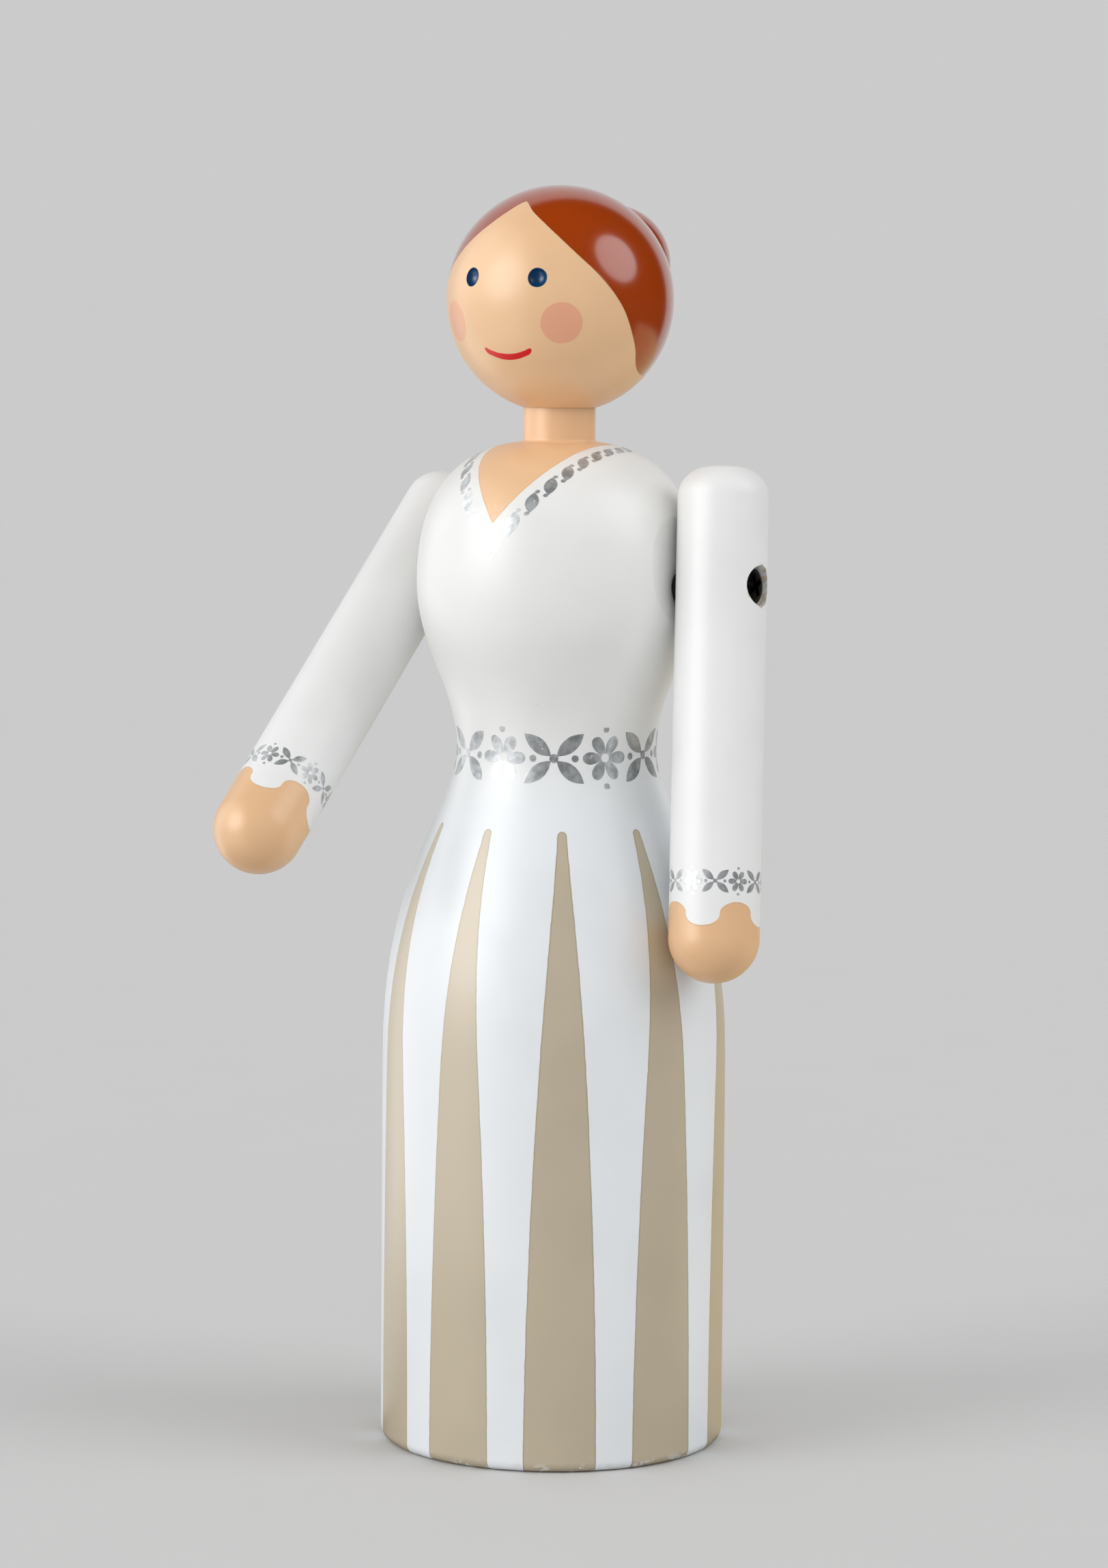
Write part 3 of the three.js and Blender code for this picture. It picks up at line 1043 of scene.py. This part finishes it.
def sleeve_paint(shoulder, lean):
    """The paint of one arm, drawn upright about the arm's own pivot."""
    material, shader, place = new_paint(shoulder.name + "_paint", paint_shine)
    place = standing_place(place, shoulder.pivot, lean.to_euler())
    spot = use_group(turned_place, Place=place)
    film = use_group(paint_film, Place=place)
    foil = use_group(silver_foil, Place=place)
    wood = use_group(bare_wood, Place=place)

    wave = work_out("COSINE", (spot["Angle"] - scallop_turn) * scallop_count)
    scallop = work_out("SIGN", wave) * abs(wave) ** scallop_roundness
    hem_edge = spot["Height"] - (scallop_middle[shoulder.name] - scallop_depth * scallop)
    hand = use_group(painted_edge, Edge=hem_edge, Place=place)
    cuff_height = (spot["Height"] - cuff_middle[shoulder.name]) / cuff_scale
    band = use_group(silver_band, Angle=spot["Angle"], Height=cuff_height)
    silver = use_group(painted_edge, Edge=band["Edge"] * cuff_scale, Place=place)

    parts = shader.id_data.nodes.new("ShaderNodeSeparateXYZ")
    give(parts.inputs[0], place)
    aside, depth, up = [Measure(socket) / mm for socket in parts.outputs]
    outward = aside * shoulder.side
    from_hinge = length(depth, up)
    in_bore = fade(from_hinge, washer_seat_radius + 0.1, washer_seat_radius + 0.2, 1.0, 0.0)
    paint_end = counterbore_floor + bore_paint_depth
    below_paint = fade(outward, paint_end - 0.6, paint_end, 1.0, 0.0)
    bare = in_bore * below_paint * fade(outward, seat_rim - 0.3, seat_rim)
    torn_rim = fade(abs(from_hinge - counterbore_radius), 0.1, torn_width, 1.0, 0.0)
    torn = fade(noise(place, torn_clouds) * torn_rim, torn_level, torn_level + 0.04)
    torn = torn * fade(outward, torn_from, torn_from + 0.4)

    painted = cover(hand["Mask"], sleeve_white, hand_tone)
    painted = darken(painted, film["Shade"] + hand_edge_shade * hand["Lip"])
    painted = cover(film["Speck"] * dust_strength, painted, dust_tone)
    painted = cover(larger(bare, torn_strength * torn), painted, wood["Colour"])
    roughness = sleeve_roughness + gloss_unevenness * film["Gloss"]
    roughness = roughness + bore_roughening * bare - hand_smoothing * hand["Mask"]
    lay_silver(shader, painted, roughness, silver, foil)
    lips = coat_lip * hand["Lip"] + hand_thickness * hand["Mask"] + foil_thickness * silver["Mask"]
    raise_surface(shader, lips - torn_depth * torn)
    return material


for shoulder in shoulders:
    out = Vector((shoulder.side, 0, 0))
    arm = turn("turned_" + shoulder.name, [
        (0, -arm_below_pivot),
        *arc((0, arm_radius - arm_below_pivot), arm_radius, -90, 0),
        (arm_radius, arm_above_pivot - arm_top_edge),
        *arc((arm_radius - arm_top_edge, arm_above_pivot - arm_top_edge), arm_top_edge, 0, 90),
        (0, arm_above_pivot),
    ], facets=128, curve_steps=24)
    drill(arm, screw_bore_radius, out * -drill_reach * mm, out * drill_reach * mm)
    drill(arm, counterbore_radius, out * counterbore_floor * mm, out * drill_reach * mm, facets=64)
    drill(arm, washer_seat_radius, out * washer_seat * mm, out * -drill_reach * mm, facets=64)
    lean = math.asin(shoulder.outward.z) * shoulder.side
    swung = Matrix.Rotation(-lean, 4, "Y") @ Matrix.Rotation(-rest_swing[shoulder.name], 4, "X")
    settle(arm, shoulder.pivot, swung.to_euler())
    smooth(arm)
    arm.data.materials.append(sleeve_paint(shoulder, swung))
    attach(arm, shoulder.name)
    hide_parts(shoulder.name)

# Pivot screws: blackened steel, cold headed with a cross recess and rolled with a thread. Each is sunk in
# its arm, which turns on the plain part of the shank, and is driven through the washer into the body.
screw_head_radius = 2.5
screw_head_top = 5.45
screw_head_under = 3.45
screw_head_crown = 0.6
shank_radius = 1.5
screw_tip = -21.55
screw_point = 3.0
thread_start = -7.2
thread_core = 1.1
thread_crest = 1.48
thread_root = 0.9
thread_half_width = 0.4
thread_pitch = 1.2
thread_turns = 11
thread_run_out = 0.4
thread_hidden = 0.6
winding_steps = 29
point_heights = (3.0, 2.5, 2.0, 1.6)
point_narrowing = 0.82
recess_length = 3.0
recess_width = 0.75
recess_depth = 1.1
recess_turn = {"left_arm": math.radians(24), "right_arm": math.radians(61)}
steel_black = colour(22, 22, 23)
steel_worn = colour(62, 61, 60)
steel_roughness = 0.34
steel_roughening = 0.2
steel_roughness_clouds = 700
scuff_clouds = 1300
scuff_depth = 0.01
black_steel, shader, place = new_paint("black_steel")
scuffs = noise(place, scuff_clouds, 4.0)
give(shader.inputs["Base Color"], cover(fade(scuffs, 0.5, 0.8), steel_black, steel_worn))
shader.inputs["Metallic"].default_value = 1.0
uneven = noise(place, steel_roughness_clouds, 3.0)
give(shader.inputs["Roughness"], steel_roughness + steel_roughening * uneven)
raise_surface(shader, scuff_depth * scuffs)


def add_thread(screw):
    """Winds a sharp ridge round the core of an upright screw, down to its point."""
    lowest = thread_start + thread_hidden - thread_pitch * thread_turns
    ridge = draw("ridge", [
        (thread_root, lowest - thread_half_width),
        (thread_crest, lowest),
        (thread_root, lowest + thread_half_width),
        (thread_root, lowest - thread_half_width),
    ], curve_steps=1)
    bpy.ops.object.modifier_add(type="SCREW")
    winding = ridge.modifiers[-1]
    winding.screw_offset = thread_pitch * mm
    winding.iterations = thread_turns
    winding.steps = winding_steps
    winding.render_steps = winding_steps
    bpy.ops.object.modifier_apply(modifier=winding.name)
    edit_all()
    bpy.ops.mesh.fill_holes(sides=4)
    bpy.ops.mesh.select_all(action="SELECT")
    bpy.ops.mesh.normals_make_consistent(inside=False)
    stop_editing()
    for height in point_heights:
        pick_faces(ridge, lambda middle, normal: middle.z < (screw_tip + height) * mm)
        bpy.ops.transform.resize(value=(point_narrowing, point_narrowing, 1), center_override=(0, 0, 0))
        stop_editing()
    combine(screw, ridge, "UNION")


for shoulder in shoulders:
    screw = turn(shoulder.name.replace("arm", "screw"), [
        (0, screw_tip),
        (thread_core, screw_tip + screw_point),
        (thread_core, thread_start - thread_run_out),
        (shank_radius, thread_start),
        (shank_radius, screw_head_under),
        (screw_head_radius, screw_head_under),
        (screw_head_radius, screw_head_top - screw_head_crown),
        [
            (screw_head_radius, screw_head_top - 0.3 * screw_head_crown),
            (0.6 * screw_head_radius, screw_head_top),
            (0, screw_head_top),
        ],
    ], facets=64, curve_steps=10)
    add_thread(screw)
    for quarter_turn in (0, math.pi / 2):
        deselect()
        bpy.ops.mesh.primitive_cube_add(size=1, location=(0, 0, screw_head_top * mm))
        slot = bpy.context.object
        slot.scale = (recess_length * mm, recess_width * mm, 2 * recess_depth * mm)
        slot.rotation_euler = (0, 0, recess_turn[shoulder.name] + quarter_turn)
        combine(screw, slot, "DIFFERENCE")
    settle(screw, shoulder.pivot, shoulder.lying)
    smooth(screw, degrees=30)
    screw.data.materials.append(black_steel)
    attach(screw, "body")
    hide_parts(shoulder.name.replace("arm", "pivot_screw"))

# Floor, light and camera: a plain pale floor under an even pale sky, a broad soft lamp at the camera's
# left, a weaker one at its right, and the camera where the photograph was taken. For glossy rays alone the
# floor and the sky are painted with reflections: a dark room behind the camera, a glowing pale screen at
# its left and a lit table behind at the right, none of which is in the scene.
camera_azimuth = math.radians(31.5)
camera_tilt = math.radians(5.85)
camera_roll = math.radians(0.48)
camera_distance = 0.686
camera_height = 0.1624
to_camera = Vector((math.sin(camera_azimuth), -math.cos(camera_azimuth), 0))
to_right = Vector((math.cos(camera_azimuth), math.sin(camera_azimuth), 0))


def from_camera(right, up, near):
    """A direction given as seen from the camera."""
    return (to_right * right + to_camera * near + Vector((0, 0, up))).normalized()


def seen_in_gloss(direction, middle, low, high):
    """1 where a gloss looks in directions near a middle one, and 0 elsewhere and for all other light."""
    tree = direction.socket.id_data
    facing = tree.nodes.new("ShaderNodeVectorMath")
    facing.operation = "DOT_PRODUCT"
    give(facing.inputs[0], direction)
    facing.inputs[1].default_value = middle
    in_gloss = Measure(tree.nodes.new("ShaderNodeLightPath").outputs["Is Glossy Ray"])
    return in_gloss * fade(Measure(facing.outputs["Value"]), low, high)


# Each is a middle direction of a painted reflection, seen by glossy rays alone, and the cosines of the
# angles from it where it begins and where it is full
dark_room_reflection = (from_camera(0.26, 0, 0.97), -0.58, -0.44)
pale_screen_reflection = (from_camera(-0.99, 0.1, 0.1), 0.5, 0.85)
painted_table_reflection = (from_camera(0.83, 0, -0.55), 0.75, 0.87)
painted_table_reflection_end = 650
painted_screen_glow_start = 110
pale_paper = colour(213, 213, 213)
shaded_paper = colour(211, 211, 211)
painted_table_reflection_colour = colour(214, 196, 150)
painted_dark_reflection_colour = colour(22, 22, 22)
black = (0, 0, 0, 1)
white = (1, 1, 1, 1)
paper_clouds = 40
floor_drop = 0.05

deselect()
bpy.ops.mesh.primitive_plane_add(size=40, location=(0, 0, -floor_drop * mm))
floor = bpy.context.object
floor.name = "floor"
floor_paper, shader, place = new_paint("floor_paper", shine=0.1)
way_out = shader.id_data.nodes.new("ShaderNodeVectorMath")
way_out.operation = "NORMALIZE"
give(way_out.inputs[0], place)
way_out = Measure(way_out.outputs[0])
from_figure = distance_from(place, (0, 0, 0))
# Painted reflections on the floor, for glossy rays only: a warm table behind at the right, dark boards
# towards the camera, and beyond the figure a white glow to the left that stands in for a pale screen.
painted_table_reflection_mask = fade(from_figure, painted_table_reflection_end - 200, painted_table_reflection_end, 1.0, 0.0) * seen_in_gloss(way_out, *painted_table_reflection)
paper = cover(painted_table_reflection_mask, cover(noise(place, paper_clouds), shaded_paper, pale_paper), painted_table_reflection_colour)
unlit = seen_in_gloss(way_out, *dark_room_reflection) * (1 - painted_table_reflection_mask)
give(shader.inputs["Base Color"], cover(unlit, paper, painted_dark_reflection_colour))
lit = fade(from_figure, painted_screen_glow_start, 2 * painted_screen_glow_start) * seen_in_gloss(way_out, *pale_screen_reflection)
give(shader.inputs["Emission Color"], cover(lit, black, white))
shader.inputs["Emission Strength"].default_value = 1.4
shader.inputs["Roughness"].default_value = 0.9
floor.data.materials.append(floor_paper)

sky = bpy.data.worlds.new("studio")
sky.use_nodes = True
bpy.context.scene.world = sky
direction = Measure(sky.node_tree.nodes.new("ShaderNodeTexCoord").outputs["Generated"])
pale_sky = (0.6, 0.6, 0.6, 1)
dark_sky = (0.003, 0.003, 0.003, 1)
screen_light = (2.4, 2.4, 2.4, 1)
# Painted reflections in the sky, for glossy rays only: dark towards the camera and a bright pale screen at
# the left.
sky_light = cover(seen_in_gloss(direction, *dark_room_reflection), pale_sky, dark_sky)
sky_light = cover(seen_in_gloss(direction, *pale_screen_reflection), sky_light, screen_light)
give(sky.node_tree.nodes["Background"].inputs["Color"], sky_light)


def soft_lamp(name, right, up, near, strength, width):
    """A broad lamp whose light comes from a direction given as seen from the camera."""
    deselect()
    towards = from_camera(right, up, near).to_track_quat("Z", "Y")
    bpy.ops.object.light_add(type="SUN", rotation=towards.to_euler())
    lamp = bpy.context.object
    lamp.name = name
    lamp.data.energy = strength
    lamp.data.angle = math.radians(width)
    return lamp


soft_lamp("left_lamp", right=-0.83, up=0.33, near=0.44, strength=1.25, width=40)
soft_lamp("right_lamp", right=0.78, up=0.585, near=0.25, strength=0.85, width=42)
front_fill = soft_lamp("front_fill", right=0.15, up=0.1, near=0.98, strength=0.4, width=60)
front_fill.visible_glossy = False

turned_camera = (
    Matrix.Rotation(camera_azimuth, 4, "Z")
    @ Matrix.Rotation(math.pi / 2 - camera_tilt, 4, "X")
    @ Matrix.Rotation(camera_roll, 4, "Z")
)
deselect()
bpy.ops.object.camera_add(
    location=to_camera * camera_distance + Vector((0, 0, camera_height)),
    rotation=turned_camera.to_euler(),
)
camera = bpy.context.object
camera.data.sensor_width = 36
camera.data.lens = 113.68
camera.data.shift_x = -0.00148
bpy.context.scene.camera = camera
bpy.context.scene.view_settings.view_transform = "Standard"
